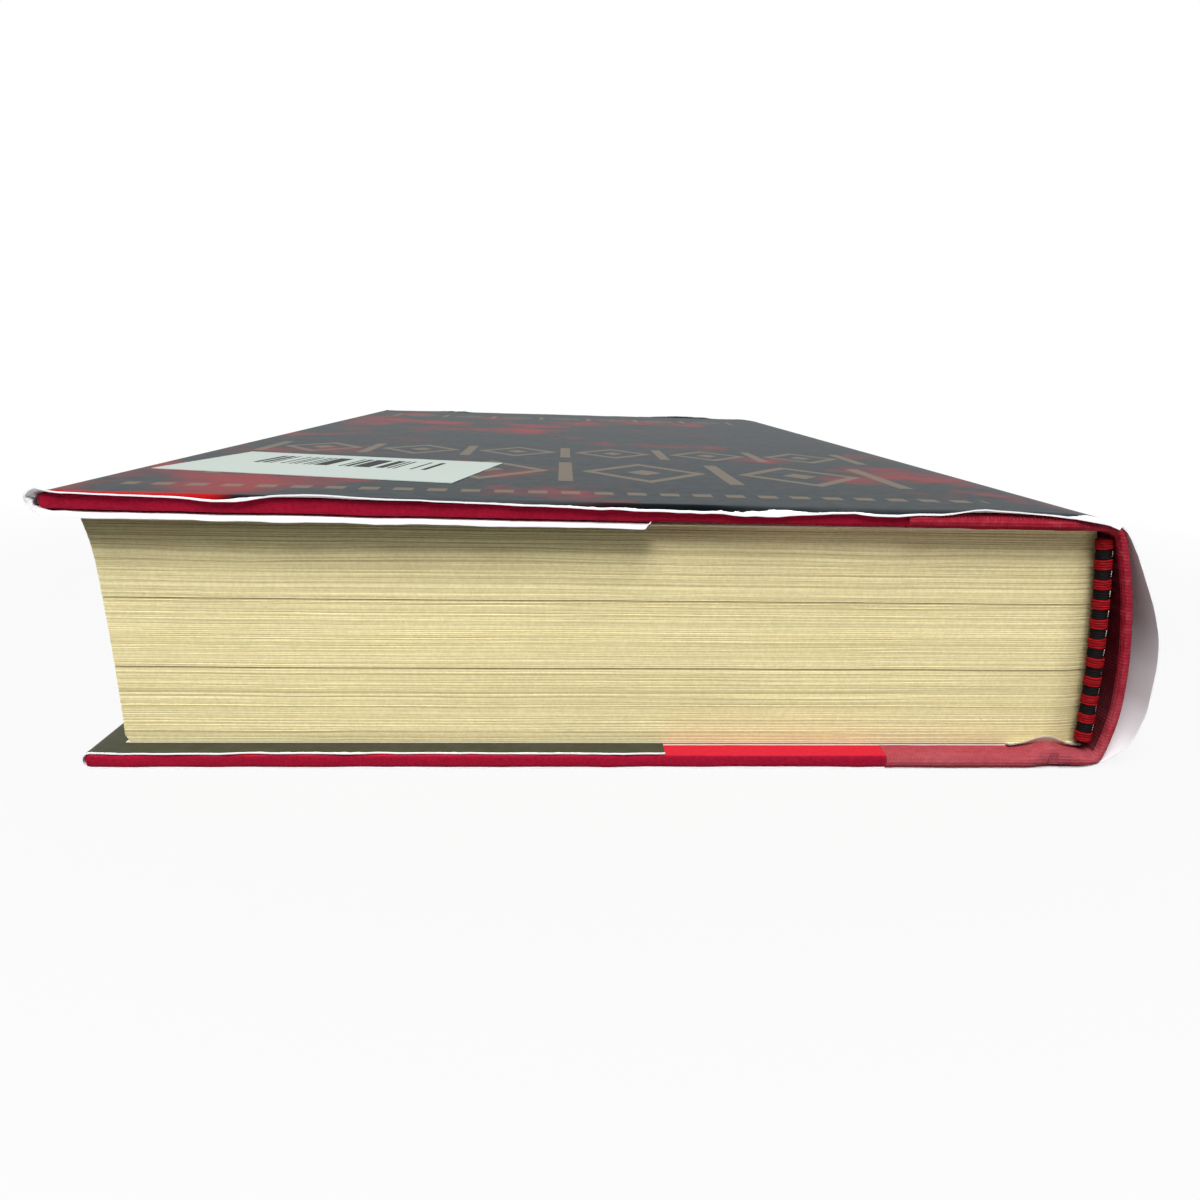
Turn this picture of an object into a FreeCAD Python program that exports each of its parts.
import FreeCAD, Part
import math
import os
import Sketcher

# A jacketed hardback book lying on its back cover. +X runs to the spine, -Y to the head edge and +Z to the
# front cover. The origin is under the middle of the book, on the surface that it lies on.

V = FreeCAD.Vector
doc = FreeCAD.newDocument("hardback_book")

# Driving dimensions, in millimetres and degrees
DIMS = [
    ("trim_width", 152.4, "width of the trimmed pages at the back cover"),
    ("trim_height", 234.3, "height of the trimmed pages"),
    ("block_thick", 35.45, "thickness of the pages with both flyleaves"),
    ("square", 3.5, "from the head and tail of the pages to the edges of the covers"),
    ("fore_square", 4.7, "from the case's fore edge to the pages"),
    ("board_thick", 1.75, "thickness of the binder's board"),
    ("skin", 0.2, "thickness of the side paper and of the spine cloth"),
    ("turn_in", 15.0, "width of the paper and cloth folded over each board's edge"),
    ("cloth_reach", 22.8, "width of the spine cloth on each board"),
    ("endpaper", 0.15, "thickness of the endpapers"),
    ("pastedown_margin", 3.0, "strip of turn-in left bare along each pastedown's fore edge"),
    ("mull_reach", 17.0, "width of the mull glued on each board"),
    ("mull_thick", 0.2, "thickness of the mull on the block's back"),
    ("jacket", 0.2, "thickness of the jacket paper"),
    ("front_slack", 0.9, "room in the jacket's front fold"),
    ("back_slack", 0.2, "room in the jacket's back fold"),
    ("front_flap", 87.2, "width of the jacket's front flap"),
    ("back_flap", 89.2, "width of the jacket's back flap"),
    ("paper_gap", 0.05, "air between sheets that lie on each other"),
    ("cover_lift", 0.5, "angle by which the front cover stands off the pages"),
    ("cover_rest", 0.25, "room between the pages and the front cover at the joint"),
    ("front_joint", 8.9, "from the front board's spine edge to its hinge line"),
    ("back_joint", 9.5, "from the back board's spine edge to its hinge line"),
    ("front_set", 0.6, "from the upper edge of the pages' back to the front hinge line"),
    ("back_set", 0.4, "from the back hinge line to the lower edge of the pages' back"),
    ("hinge_rise", 0.9, "height of the front hinge line over the pages"),
    ("hinge_gap", 0.15, "room on each side of a hinge line"),
    ("groove_set", 3.0, "from a board's spine edge to the foot of its groove"),
    ("groove_floor", 3.0, "width of the back groove's floor"),
    ("fore_lean", 1.2, "how far the fore edge leans out at the top"),
    ("back_lean", 2.5, "how far the block's back leans in at the top"),
    ("fore_hollow", 0.35, "depth of the hollow fore edge"),
    ("back_round", 0.7, "height of the rounded back"),
    ("mull_inset", 25.0, "from the head and tail of the pages to the mull"),
    ("lining_inset", 14.0, "from the head and tail of the pages to the lining"),
    ("lining_thick", 0.25, "thickness of the paper lining"),
    ("lining_margin", 1.5, "from the block's faces to the edges of mull and lining"),
    ("bead_radius", 1.15, "radius of the headband's bead"),
    ("bead_set", 0.3, "how far the bead's middle lies inside the block's back"),
    ("bead_seat", 0.05, "room between the bead and the edges of the pages"),
    ("bead_low", 4.0, "lower end of the bead"),
    ("bead_margin", 3.0, "from the top of the pages to the bead's upper end"),
    ("band_tape", 12.0, "length of the headband's tape on the back"),
    ("band_thick", 0.4, "thickness of the headband's tape"),
    ("strip_thick", 0.8, "thickness of the stiff strip in the case's spine"),
    ("case_reach", 4.35, "from the back hinge line to the fullest point of the spine"),
    ("case_full", 12.0, "height of the case's fullest point"),
    ("case_top_set", 1.5, "from the front hinge line to the strip's upper edge"),
    ("case_top_drop", 0.6, "from the top of the pages to the strip's upper edge"),
    ("case_low_set", 2.6, "from the back hinge line to the strip's lower edge"),
    ("case_low", 1.25, "height of the strip's lower edge"),
    ("cloth_drop", 0.3, "height of the cloth's bend round the strip's lower edge"),
    ("cloth_low", 0.95, "height of the cloth under the strip"),
    ("cloth_rise", 0.3, "height of the cloth's upper edge over the pages"),
    ("jacket_reach", 8.7, "from the back hinge line to the jacket's fullest point"),
    ("jacket_full", 14.0, "height of the jacket's fullest point"),
    ("jacket_top_set", 1.7, "from the front hinge line to the jacket's upper bend"),
    ("jacket_top_rise", 0.1, "height of the jacket's upper bend over the pages"),
    ("jacket_edge_rise", 0.55, "height of the jacket's upper edge over the pages"),
    ("jacket_low_set", 2.7, "from the back hinge line to the jacket's lower bend"),
    ("jacket_low", 0.7, "height of the jacket's underside at the spine"),
    ("jacket_bend", 0.3, "from the front board's edge to the jacket's bend"),
    ("label_width", 54.0, "width of the shop label"),
    ("label_depth", 32.0, "depth of the shop label"),
    ("label_thick", 0.1, "thickness of the shop label"),
    ("label_in", 31.5, "from the front board's fore edge to the label's middle"),
    ("label_down", 40.0, "from the head edge to the label's middle"),
    ("label_turn", -11.0, "angle of the shop label"),
]

# Places worked out from the driving dimensions
PLACES = [
    ("board_height", "Dims.trim_height + 2 * Dims.square"),
    ("board_width", "Dims.trim_width + Dims.fore_square - Dims.skin - Dims.back_joint - Dims.back_set"),
    ("cover_lean", "Dims.back_lean + Dims.front_joint - Dims.front_set - Dims.back_joint - Dims.back_set"),
    ("case_fore", "-(Dims.skin + board_width + Dims.back_joint + Dims.jacket_reach"
                  " - cover_lean - Dims.front_slack - Dims.jacket) / 2"),
    ("back_fore", "case_fore + Dims.skin"),
    ("back_spine", "back_fore + board_width"),
    ("back_seam", "back_spine - Dims.cloth_reach"),
    ("back_mull", "back_spine - Dims.mull_reach"),
    ("back_groove", "back_spine + Dims.groove_set"),
    ("back_rise", "back_groove + Dims.groove_floor"),
    ("back_hinge", "back_spine + Dims.back_joint"),
    ("back_stop", "back_hinge - Dims.hinge_gap"),
    ("front_fore", "back_fore - cover_lean"),
    ("front_spine", "front_fore + board_width"),
    ("front_seam", "front_spine - Dims.cloth_reach"),
    ("front_mull", "front_spine - Dims.mull_reach"),
    ("front_groove", "front_spine + Dims.groove_set"),
    ("front_hinge", "front_spine + Dims.front_joint"),
    ("front_stop", "front_hinge - Dims.hinge_gap"),
    ("back_face", "Dims.jacket"),
    ("back_shell", "back_face + Dims.skin"),
    ("back_lining", "back_shell + Dims.board_thick"),
    ("back_turned", "back_lining + Dims.skin"),
    ("back_paper", "back_turned + Dims.endpaper"),
    ("back_dip_face", "back_lining - Dims.skin"),
    ("back_dip_lining", "back_lining"),
    ("back_dip_turned", "back_turned"),
    ("back_dip_paper", "back_paper"),
    ("back_flap_top", "back_paper + Dims.jacket"),
    ("block_low", "back_flap_top + Dims.paper_gap"),
    ("block_high", "block_low + Dims.block_thick"),
    ("front_paper", "block_high + Dims.cover_rest"),
    ("front_turned", "front_paper + Dims.endpaper"),
    ("front_lining", "front_turned + Dims.skin"),
    ("front_shell", "front_lining + Dims.board_thick"),
    ("front_face", "front_shell + Dims.skin"),
    ("front_top", "front_face + Dims.jacket"),
    ("front_axis", "block_high + Dims.hinge_rise"),
    ("front_dip_face", "front_axis - Dims.jacket"),
    ("front_dip_lining", "front_dip_face - Dims.skin"),
    ("front_dip_turned", "front_dip_lining - Dims.skin"),
    ("front_dip_paper", "front_dip_turned - Dims.endpaper"),
    ("page_fore_low", "case_fore + Dims.fore_square"),
    ("page_fore_high", "page_fore_low - Dims.fore_lean"),
    ("page_back_low", "page_fore_low + Dims.trim_width"),
    ("page_back_high", "page_back_low - Dims.back_lean"),
    ("page_low", "block_low + Dims.endpaper"),
    ("page_high", "block_high - Dims.endpaper"),
    ("fore_chord", "sqrt(Dims.fore_lean^2 + (page_high - page_low)^2)"),
    ("fore_radius", "(fore_chord^2 / 4 + Dims.fore_hollow^2) / (2 * Dims.fore_hollow)"),
    ("round_chord", "sqrt(Dims.back_lean^2 + (page_high - page_low)^2)"),
    ("round_radius", "(round_chord^2 / 4 + Dims.back_round^2) / (2 * Dims.back_round)"),
    ("round_x", "(page_back_low + page_back_high) / 2"
                " - (round_radius - Dims.back_round) * (page_high - page_low) / round_chord"),
    ("round_z", "(page_low + page_high) / 2 - (round_radius - Dims.back_round) * Dims.back_lean / round_chord"),
    ("lining_low", "block_low + Dims.lining_margin"),
    ("lining_high", "block_high - Dims.lining_margin"),
    ("case_full_x", "back_hinge + Dims.case_reach"),
    ("case_low_x", "back_hinge + Dims.case_low_set"),
    ("case_top_x", "front_hinge + Dims.case_top_set"),
    ("case_top", "block_high - Dims.case_top_drop"),
    ("case_up_radius", "((case_full_x - case_top_x)^2 + (case_top - Dims.case_full)^2)"
                       " / (2 * (case_full_x - case_top_x))"),
    ("case_low_radius", "((case_full_x - case_low_x)^2 + (Dims.case_full - Dims.case_low)^2)"
                        " / (2 * (case_full_x - case_low_x))"),
    ("cloth_top", "block_high + Dims.cloth_rise"),
    ("jacket_full_x", "back_hinge + Dims.jacket_reach"),
    ("jacket_low_x", "back_hinge + Dims.jacket_low_set"),
    ("jacket_top_x", "front_hinge + Dims.jacket_top_set"),
    ("jacket_top", "block_high + Dims.jacket_top_rise"),
    ("jacket_edge", "block_high + Dims.jacket_edge_rise"),
    ("jacket_floor", "Dims.jacket_low + Dims.jacket"),
    ("jacket_up_radius", "((jacket_full_x - jacket_top_x)^2 + (jacket_top - Dims.jacket_full)^2)"
                         " / (2 * (jacket_full_x - jacket_top_x))"),
    ("jacket_low_radius", "((jacket_full_x - jacket_low_x)^2 + (Dims.jacket_full - jacket_floor)^2)"
                          " / (2 * (jacket_full_x - jacket_low_x))"),
    ("front_root", "front_hinge + Dims.hinge_gap"),
    ("back_root", "back_hinge + Dims.hinge_gap"),
    ("bead_arc", "round_radius - Dims.bead_set"),
    ("bead_start", "asin((Dims.bead_low - round_z) / bead_arc)"),
    ("bead_end", "asin((block_high - Dims.bead_margin - round_z) / bead_arc)"),
    ("bead_y", "Dims.trim_height / 2 + Dims.bead_seat + Dims.bead_radius"),
    ("label_x", "front_fore + Dims.label_in"),
    ("label_y", "-board_height / 2 + Dims.label_down"),
    ("cased_height", "board_height - 2 * Dims.skin"),
    ("window_height", "board_height - 2 * Dims.turn_in"),
    ("mull_height", "Dims.trim_height - 2 * Dims.mull_inset"),
    ("lining_height", "Dims.trim_height - 2 * Dims.lining_inset"),
]

# Dark threads wound round each headband's bead
WRAPS = 11


def fill_sheets():
    """Write the driving dimensions and the places worked out from them into two sheets."""
    dims = doc.addObject("Spreadsheet::Sheet", "Dims")
    for row, (alias, value, note) in enumerate(DIMS, 1):
        dims.set(f"A{row}", note)
        dims.set(f"B{row}", str(value))
        dims.setAlias(f"B{row}", alias)
    places = doc.addObject("Spreadsheet::Sheet", "Places")
    for row, (alias, formula) in enumerate(PLACES, 1):
        places.set(f"A{row}", alias.replace("_", " "))
        places.set(f"B{row}", "=" + formula)
        places.setAlias(f"B{row}", alias)
    doc.recompute()
    return places


places = fill_sheets()


def size(expression):
    """The value that an expression on the sheets has now."""
    return float(places.evalExpression(expression))


def piece(name):
    """A new body for one sub-part."""
    body = doc.addObject("PartDesign::Body", name)
    body.Label = name
    return body


def arc_edge(start, end, radius, turn):
    """The arc from start to end, counter-clockwise when turn is 1 and clockwise when it is -1."""
    middle = (start + end) * 0.5
    along = end - start
    height = math.sqrt(max(radius * radius - along.Length ** 2 / 4, 0.0))
    centre = middle + V(-along.y, along.x).normalize() * (height * turn)
    first = math.atan2(start.y - centre.y, start.x - centre.x)
    last = math.atan2(end.y - centre.y, end.x - centre.x)
    if turn < 0:
        first, last = last, first
    if last < first:
        last += 2 * math.pi
    return Part.ArcOfCircle(Part.Circle(centre, V(0, 0, 1), radius), first, last)


def outline(body, name, corners, role="XZ_Plane"):
    """A closed sketch through the corners. A corner is (across, up), or (across, up, radius, turn) when an arc
    leaves it. Every corner and radius is bound to the sheets."""
    plane = [f for f in body.Origin.OriginFeatures if f.Role == role][0]
    sketch = body.newObject("Sketcher::SketchObject", name)
    sketch.AttachmentSupport = (plane, [""])
    sketch.MapMode = "FlatFace"
    points = [V(size(corner[0]), size(corner[1])) for corner in corners]
    ends = []
    for i, corner in enumerate(corners):
        start, end = points[i], points[(i + 1) % len(points)]
        if len(corner) == 2:
            sketch.addGeometry(Part.LineSegment(start, end))
            ends.append((1, 2))
            continue
        radius, turn = corner[2:]
        edge = sketch.addGeometry(arc_edge(start, end, size(radius), turn))
        ends.append((1, 2) if turn > 0 else (2, 1))
        rule = sketch.addConstraint(Sketcher.Constraint("Radius", edge, size(radius)))
        sketch.setExpression(f"Constraints[{rule}]", radius)
    for i, corner in enumerate(corners):
        after = (i + 1) % len(corners)
        sketch.addConstraint(Sketcher.Constraint("Coincident", i, ends[i][1], after, ends[after][0]))
        for kind, place, value in (("DistanceX", corner[0], points[i].x), ("DistanceY", corner[1], points[i].y)):
            rule = sketch.addConstraint(Sketcher.Constraint(kind, -1, 1, i, ends[i][0], value))
            sketch.setExpression(f"Constraints[{rule}]", place)
    return sketch


def pad(body, name, corners, height):
    """A profile carried an equal way towards the head and the tail."""
    feature = body.newObject("PartDesign::Pad", name)
    feature.Profile = outline(body, name + "_profile", corners)
    feature.SideType = "Symmetric"
    feature.setExpression("Length", height)
    doc.recompute()
    return feature


def pocket(body, name, corners, height):
    """A profile cut out an equal way towards the head and the tail."""
    before = body.Shape.Volume
    feature = body.newObject("PartDesign::Pocket", name)
    feature.Profile = outline(body, name + "_profile", corners)
    feature.SideType = "Symmetric"
    feature.setExpression("Length", height)
    doc.recompute()
    if not body.Shape.Volume < before:
        raise RuntimeError(name + " cuts nothing")
    return feature


def box_corners(left, low, right, high):
    """The four corners of an upright rectangle."""
    return [(left, low), (right, low), (right, high), (left, high)]


def hang_on_hinge(body):
    """Turn a piece of the front cover about its hinge line, so that the cover stands off the pages."""
    body.setExpression(
        "Placement",
        "create(<<placement>>; create(<<vector>>; 0; 0; 0);"
        " create(<<rotation>>; create(<<vector>>; 0; 1; 0); Dims.cover_lift);"
        " create(<<vector>>; Places.front_hinge; 0; Places.front_axis))",
    )


def side(cover, place):
    """The name of one of a cover's places."""
    return f"Places.{cover}_{place}"


def inner_layer(cover, left):
    """Outline of the layer on a board's inner face and on over the groove, between board and pastedown."""
    return [
        (left, side(cover, "turned")),
        (side(cover, "spine"), side(cover, "turned")),
        (side(cover, "groove"), side(cover, "dip_turned")),
        (side(cover, "stop"), side(cover, "dip_turned")),
        (side(cover, "stop"), side(cover, "dip_lining")),
        (side(cover, "groove"), side(cover, "dip_lining")),
        (side(cover, "spine"), side(cover, "lining")),
        (left, side(cover, "lining")),
    ]


def board(cover):
    """The bare binder's board."""
    body = piece(f"{cover}_board")
    corners = box_corners(side(cover, "fore"), side(cover, "shell"), side(cover, "spine"), side(cover, "lining"))
    pad(body, "plate", corners, "Places.cased_height")
    return body


def cover_paper(cover):
    """The side paper, folded over the board's three outer edges."""
    body = piece(f"{cover}_cover_paper")
    fore = side(cover, "fore")
    seam = side(cover, "seam")
    shell = side(cover, "shell")
    lining = side(cover, "lining")
    turned = side(cover, "turned")
    pad(body, "wrap", box_corners(f"{fore} - Dims.skin", side(cover, "face"), seam, turned), "Places.board_height")
    pocket(body, "board_room", box_corners(fore, shell, seam, lining), "Places.cased_height")
    window = box_corners(f"{fore} + Dims.turn_in", lining, seam, turned)
    pocket(body, "window", window, "Places.window_height")
    return body


def front_joint_cloth():
    """The spine cloth on the front board and down into its groove, folded in at head and tail."""
    body = piece("front_joint_cloth")
    lower = inner_layer("front", "Places.front_seam")
    upper = [
        ("Places.front_stop", "Places.front_dip_face"),
        ("Places.front_groove", "Places.front_dip_face"),
        ("Places.front_spine", "Places.front_face"),
        ("Places.front_seam", "Places.front_face"),
    ]
    pad(body, "wrap", lower[:4] + upper, "Places.board_height")
    room = [
        ("Places.front_seam", "Places.front_lining"),
        ("Places.front_spine", "Places.front_lining"),
        ("Places.front_groove", "Places.front_dip_lining"),
        ("Places.front_spine", "Places.front_shell"),
        ("Places.front_seam", "Places.front_shell"),
    ]
    pocket(body, "board_room", room, "Places.cased_height")
    pocket(body, "window", lower, "Places.window_height")
    return body


def back_joint_cloth():
    """The spine cloth on the back board, up into its groove and down again to the spine."""
    body = piece("back_joint_cloth")
    wrap = [
        ("Places.back_seam", "Places.back_face"),
        ("Places.back_spine", "Places.back_face"),
        ("Places.back_groove", "Places.back_dip_face"),
        ("Places.back_rise", "Places.back_dip_face"),
        ("Places.back_stop", "Places.back_face + Dims.paper_gap"),
        ("Places.back_stop", "Places.back_shell + Dims.paper_gap"),
        ("Places.back_rise", "Places.back_dip_lining"),
        ("Places.back_stop", "Places.back_dip_lining"),
        ("Places.back_stop", "Places.back_turned"),
        ("Places.back_seam", "Places.back_turned"),
    ]
    pad(body, "wrap", wrap, "Places.board_height")
    room = [
        ("Places.back_seam", "Places.back_shell"),
        ("Places.back_spine", "Places.back_shell"),
        ("Places.back_groove", "Places.back_lining"),
        ("Places.back_seam", "Places.back_lining"),
    ]
    pocket(body, "board_room", room, "Places.cased_height")
    window = box_corners("Places.back_seam", "Places.back_lining", "Places.back_stop", "Places.back_turned")
    pocket(body, "window", window, "Places.window_height")
    return body


def mull_flange(cover):
    """The open-weave cloth that holds the pages to the board, between the board and the pastedown."""
    body = piece(f"{cover}_mull_flange")
    pad(body, "sheet", inner_layer(cover, side(cover, "mull")), "Places.window_height")
    return body


def pastedown(cover):
    """The endpaper glued over the board's inner face, filled out level inside the turn-ins."""
    body = piece(f"{cover}_pastedown")
    left = side(cover, "fore") + " + Dims.pastedown_margin"
    sheet = [
        (left, side(cover, "paper")),
        (side(cover, "spine"), side(cover, "paper")),
        (side(cover, "groove"), side(cover, "dip_paper")),
        (side(cover, "stop"), side(cover, "dip_paper")),
        (side(cover, "stop"), side(cover, "dip_turned")),
        (side(cover, "groove"), side(cover, "dip_turned")),
        (side(cover, "spine"), side(cover, "turned")),
        (left, side(cover, "turned")),
    ]
    pad(body, "sheet", sheet, "Dims.trim_height")
    window = side(cover, "fore") + " + Dims.turn_in"
    filler = box_corners(window, side(cover, "turned"), side(cover, "mull"), side(cover, "lining"))
    pad(body, "filler", filler, "Places.window_height")
    return body


def fold_corners(fold, face, flap, slack, sign):
    """The jacket's fold round a board's fore edge, from its cover side to its flap, outside and then inside. The
    outside keeps the same middle as the inside, one paper thickness further out. sign is 1 when the flap is above
    the cover."""
    outer = f"({slack} + Dims.jacket)"
    middle = f"{fold} + {outer}"
    inside = f"{fold} + Dims.jacket"
    up = "+" if sign > 0 else "-"
    down = "-" if sign > 0 else "+"
    outside_run = [
        (middle, face, outer, -sign),
        (fold, f"{face} {up} {outer}"),
        (fold, f"{flap} {down} {outer}", outer, -sign),
        (middle, flap),
    ]
    inside_run = [
        (middle, f"{flap} {down} Dims.jacket", slack, sign),
        (inside, f"{flap} {down} {outer}"),
        (inside, f"{face} {up} {outer}", slack, sign),
        (middle, f"{face} {up} Dims.jacket"),
    ]
    return outside_run, inside_run


def jacket_front():
    """The jacket's front: over the joint, the front cover and its fore edge, and back as the front flap."""
    body = piece("jacket_front")
    fold = "Places.front_fore - Dims.skin - Dims.front_slack - Dims.jacket"
    flap = "Places.front_paper - Dims.paper_gap - Dims.jacket"
    bend = "Places.front_spine + Dims.jacket_bend"
    end = f"{fold} + Dims.front_flap"
    outside, inside = fold_corners(fold, "Places.front_top", flap, "Dims.front_slack", -1)
    corners = [("Places.front_stop", "Places.front_axis"), (bend, "Places.front_top")]
    corners += outside + [(end, flap), (end, f"{flap} + Dims.jacket")] + inside
    corners += [(bend, "Places.front_face"), ("Places.front_stop", "Places.front_axis - Dims.jacket")]
    pad(body, "sheet", corners, "Places.board_height")
    return body


def jacket_back():
    """The jacket's back: under the joint and the back cover, round its fore edge and back as the back flap."""
    body = piece("jacket_back")
    fold = "Places.case_fore - Dims.back_slack - Dims.jacket"
    end = f"{fold} + Dims.back_flap"
    outside, inside = fold_corners(fold, "0", "Places.back_flap_top", "Dims.back_slack", 1)
    corners = [("Places.back_stop", "0")] + outside
    corners += [(end, "Places.back_flap_top"), (end, "Places.back_flap_top - Dims.jacket")] + inside
    corners += [("Places.back_stop", "Dims.jacket")]
    pad(body, "sheet", corners, "Places.board_height")
    return body


def shop_label():
    """The blank self-adhesive label on the front of the jacket, near the fore edge and the head."""
    body = piece("shop_label")
    corners = []
    for across, along in ((-1, -1), (1, -1), (1, 1), (-1, 1)):
        reach = f"{across} * Dims.label_width / 2"
        depth = f"{along} * Dims.label_depth / 2"
        corners.append((
            f"Places.label_x + {reach} * cos(Dims.label_turn) - {depth} * sin(Dims.label_turn)",
            f"Places.label_y + {reach} * sin(Dims.label_turn) + {depth} * cos(Dims.label_turn)",
        ))
    sheet = body.newObject("PartDesign::Pad", "sheet")
    sheet.Profile = outline(body, "sheet_profile", corners, "XY_Plane")
    sheet.Profile[0].setExpression("AttachmentOffset.Base.z", "Places.front_top")
    sheet.setExpression("Length", "Dims.label_thick")
    doc.recompute()
    return body


def text_block():
    """The sewn and trimmed pages, with a rounded back and a hollow fore edge."""
    body = piece("text_block")
    corners = [
        ("Places.page_fore_low", "Places.page_low"),
        ("Places.page_back_low", "Places.page_low", "Places.round_radius", 1),
        ("Places.page_back_high", "Places.page_high"),
        ("Places.page_fore_high", "Places.page_high", "Places.fore_radius", 1),
    ]
    pad(body, "pages", corners, "Dims.trim_height")
    return body


def flyleaf(cover, low, high, left, right):
    """The free half of an endpaper, lying on the pages."""
    body = piece(f"{cover}_flyleaf")
    pad(body, "sheet", box_corners(left, low, right, high), "Dims.trim_height")
    return body


def on_round(offset, height):
    """How far across the block's rounded back, or a layer on it, lies at a height."""
    return f"Places.round_x + sqrt((Places.round_radius + {offset})^2 - ({height} - Places.round_z)^2)"


def back_layer(name, inner, outer, height):
    """A layer glued round the block's back."""
    body = piece(name)
    low = "Places.lining_low"
    high = "Places.lining_high"
    corners = [
        (on_round(inner, low), low),
        (on_round(outer, low), low, f"Places.round_radius + {outer}", 1),
        (on_round(outer, high), high),
        (on_round(inner, high), high, f"Places.round_radius + {inner}", -1),
    ]
    pad(body, "layer", corners, height)
    return body


def spine_run(kind, inset, top, low):
    """A spine curve from its top end to its low end: two arcs that meet upright at the fullest point."""
    full_x = f"Places.{kind}_full_x"
    full = f"Dims.{kind}_full"
    up = f"(Places.{kind}_up_radius - {inset})"
    down = f"(Places.{kind}_low_radius - {inset})"
    top_x = f"{full_x} - Places.{kind}_up_radius + sqrt({up}^2 - ({top} - {full})^2)"
    low_x = f"{full_x} - Places.{kind}_low_radius + sqrt({down}^2 - ({full} - {low})^2)"
    return (top_x, top, up), (f"{full_x} - {inset}", full, down), (low_x, low)


def spine_band(kind, outer, inner, top, low):
    """Corners down the outside of a spine layer and back up its inside, in two runs."""
    high, full, foot = spine_run(kind, outer, top, low)
    outside = [high + (-1,), full + (-1,), foot]
    high, full, foot = spine_run(kind, inner, top, low)
    inside = [(foot[0], foot[1], full[2], 1), (full[0], full[1], high[2], 1), high[:2]]
    return outside, inside


def spine_strip():
    """The stiff strip inside the case's spine."""
    body = piece("spine_strip")
    outside, inside = spine_band("case", "Dims.skin", "(Dims.skin + Dims.strip_thick)", "Places.case_top",
                                 "Dims.case_low")
    pad(body, "strip", outside + inside, "Places.cased_height")
    return body


def spine_cloth():
    """The spine cloth round the strip, folded in at head and tail, with an edge towards each hinge line."""
    body = piece("spine_cloth")
    top = "Places.case_top"
    low = "Dims.case_low"
    pack = "(2 * Dims.skin + Dims.strip_thick)"
    outside, inside = spine_band("case", "0", pack, top, low)
    outer_foot = outside[2][0]
    skin_top, _, skin_foot = spine_run("case", "Dims.skin", top, low)
    wrap = [("Places.front_root", "Places.cloth_top")] + outside
    wrap += [
        (f"{outer_foot} - Dims.cloth_drop", "Dims.cloth_low"),
        ("Places.back_root", "Dims.cloth_low"),
        ("Places.back_root", "Dims.cloth_low + Dims.skin"),
        (f"{skin_foot[0]} - Dims.cloth_drop", "Dims.cloth_low + Dims.skin"),
        skin_foot,
    ]
    wrap += inside + [skin_top[:2], ("Places.front_root", "Places.cloth_top - Dims.skin")]
    pad(body, "wrap", wrap, "Places.board_height")
    outside, inside = spine_band("case", "Dims.skin", "(Dims.skin + Dims.strip_thick)", top, low)
    pocket(body, "strip_room", outside + inside, "Places.cased_height")
    outside, inside = spine_band("case", "(Dims.skin + Dims.strip_thick)", pack, top, low)
    pocket(body, "window", outside + inside, "Places.window_height")
    return body


def jacket_spine():
    """The jacket round the spine, standing off the case."""
    body = piece("jacket_spine")
    outside, inside = spine_band("jacket", "0", "Dims.jacket", "Places.jacket_top", "Places.jacket_floor")
    sheet = [("Places.front_root", "Places.jacket_edge")] + outside
    sheet += [
        (f"{outside[2][0]} - Dims.jacket", "Dims.jacket_low"),
        ("Places.back_root", "Dims.jacket_low"),
        ("Places.back_root", "Places.jacket_floor"),
    ]
    sheet += inside + [("Places.front_root", "Places.jacket_edge - Dims.jacket")]
    pad(body, "sheet", sheet, "Places.board_height")
    return body


def bead_piece(name, end, step):
    """One length of a headband's bead: a short stretch of a large ring round the block's back."""
    steps = 2 * WRAPS + 1
    ring = doc.addObject("Part::Torus", name)
    ring.Angle1 = -180
    ring.Angle2 = 180
    ring.setExpression("Radius1", "Places.bead_arc")
    ring.setExpression("Radius2", "Dims.bead_radius")
    ring.setExpression("Angle3", f"(Places.bead_end - Places.bead_start) / {steps}")
    start = f"Places.bead_start + (Places.bead_end - Places.bead_start) * {step} / {steps}"
    ring.setExpression(
        "Placement",
        f"create(<<placement>>; create(<<vector>>; Places.round_x; {end} * Places.bead_y; Places.round_z);"
        f" create(<<rotation>>; 0; -({start}); 90))",
    )
    return ring


def band_tape(name, end):
    """The headband's tape, glued on the block's back and out under the bead."""
    tape = piece(name)
    low = "Dims.bead_low"
    high = "(Places.block_high - Dims.bead_margin)"
    corners = [
        (on_round("0", low), low),
        (on_round("Dims.band_thick", low), low, "Places.round_radius + Dims.band_thick", 1),
        (on_round("Dims.band_thick", high), high),
        (on_round("0", high), high, "Places.round_radius", -1),
    ]
    pad(tape, name + "_sheet", corners, "Dims.band_tape + Places.bead_y - Dims.trim_height / 2")
    tape.setExpression(
        "Placement.Base.y",
        f"{end} * (Places.bead_y + Dims.trim_height / 2 - Dims.band_tape) / 2",
    )
    return tape


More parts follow.
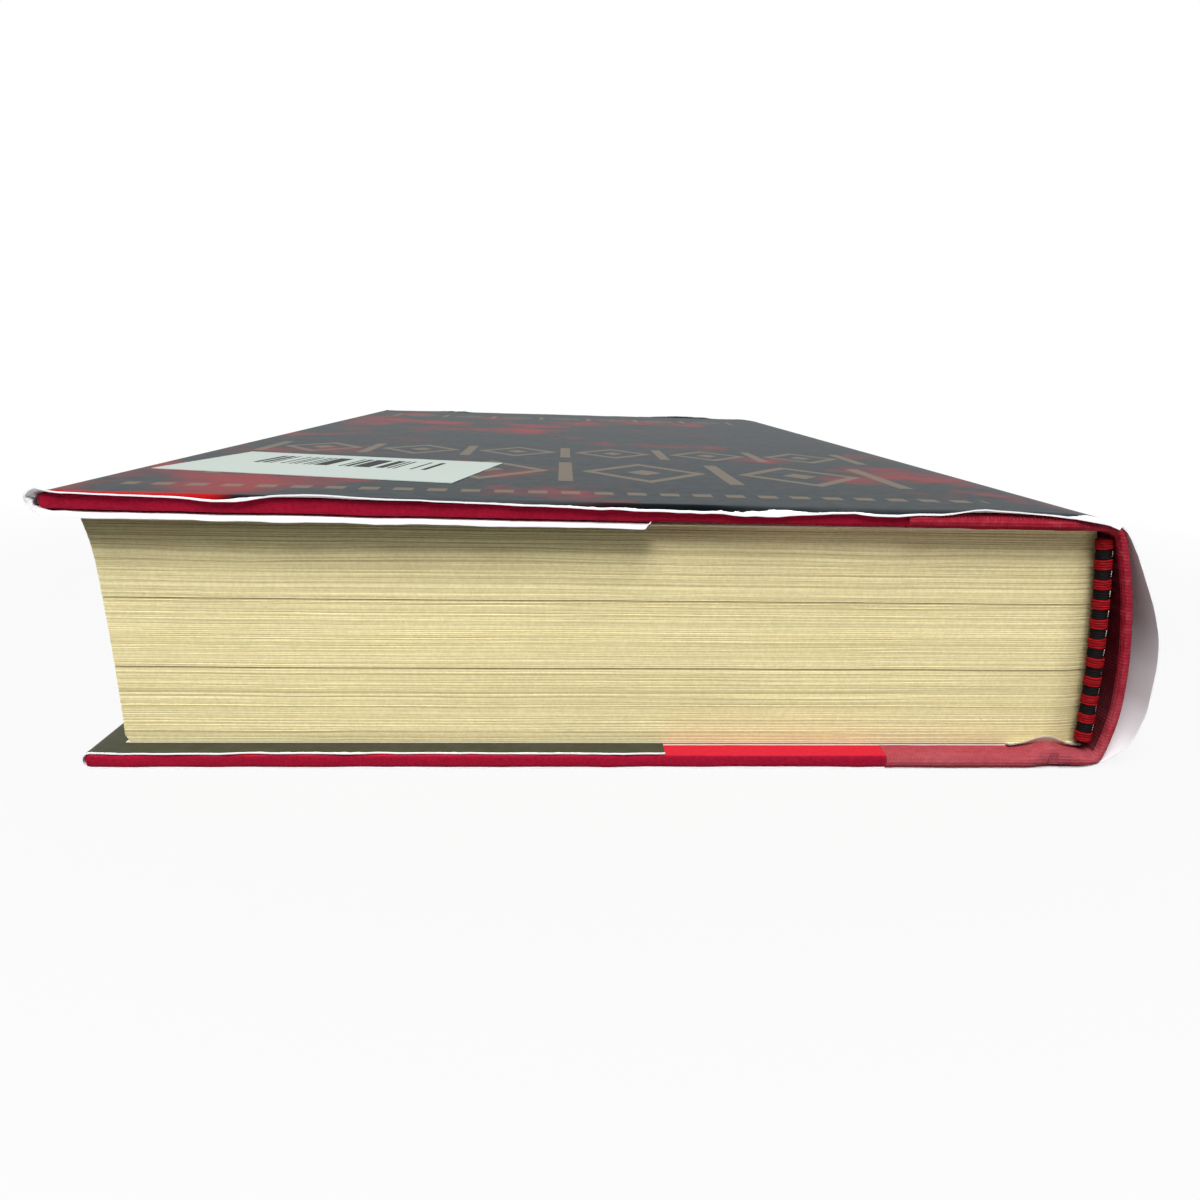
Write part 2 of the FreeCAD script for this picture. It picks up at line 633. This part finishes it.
def headband(name, end):
    """A headband and the dark threads wound round its bead, in turn with the plain ones."""
    tape = band_tape(name + "_tape", end)
    rings = [bead_piece(f"{name}_ring_{step}", end, step) for step in range(2 * WRAPS + 1)]
    band = doc.addObject("Part::MultiFuse", name)
    band.Label = name
    band.Shapes = [tape] + rings[0::2]
    wraps = doc.addObject("Part::Compound", name + "_wraps")
    wraps.Links = rings[1::2]
    threads = doc.addObject("Part::Cut", name + "_threads")
    threads.Label = name + "_threads"
    threads.Base = wraps
    threads.Tool = tape
    doc.recompute()
    return [band, threads]


def build_book():
    """Every sub-part of the book, the front cover's turned about its hinge line."""
    front = [board("front"), cover_paper("front"), front_joint_cloth(), mull_flange("front"), pastedown("front"),
             jacket_front(), shop_label()]
    for body in front:
        hang_on_hinge(body)
    back = [board("back"), cover_paper("back"), back_joint_cloth(), mull_flange("back"), pastedown("back"),
            jacket_back()]
    block = [
        text_block(),
        flyleaf("front", "Places.page_high", "Places.block_high", "Places.page_fore_high", "Places.page_back_high"),
        flyleaf("back", "Places.block_low", "Places.page_low", "Places.page_fore_low", "Places.page_back_low"),
        back_layer("spine_mull", "0", "Dims.mull_thick", "Places.mull_height"),
        back_layer("spine_lining", "Dims.mull_thick", "(Dims.mull_thick + Dims.lining_thick)",
                   "Places.lining_height"),
        spine_strip(),
        spine_cloth(),
        jacket_spine(),
    ]
    block += headband("head_band", -1) + headband("tail_band", 1)
    doc.recompute()
    return front + back + block


def check(parts):
    """Stop if any object failed, or a sub-part has no sound solid."""
    for item in doc.Objects:
        if "Invalid" in item.State or "Error" in item.State:
            raise RuntimeError(f"{item.Label} failed: {item.State}")
    for item in parts:
        if item.Shape.isNull() or not item.Shape.isValid() or not item.Shape.Solids:
            raise RuntimeError(f"{item.Label} has no sound solid")


book = build_book()
check(book)
os.makedirs("parts", exist_ok=True)
for item in book:
    item.Shape.exportStep(f"parts/{item.Label}.step")
    print(item.Label, len(item.Shape.Solids), round(item.Shape.Volume, 2))
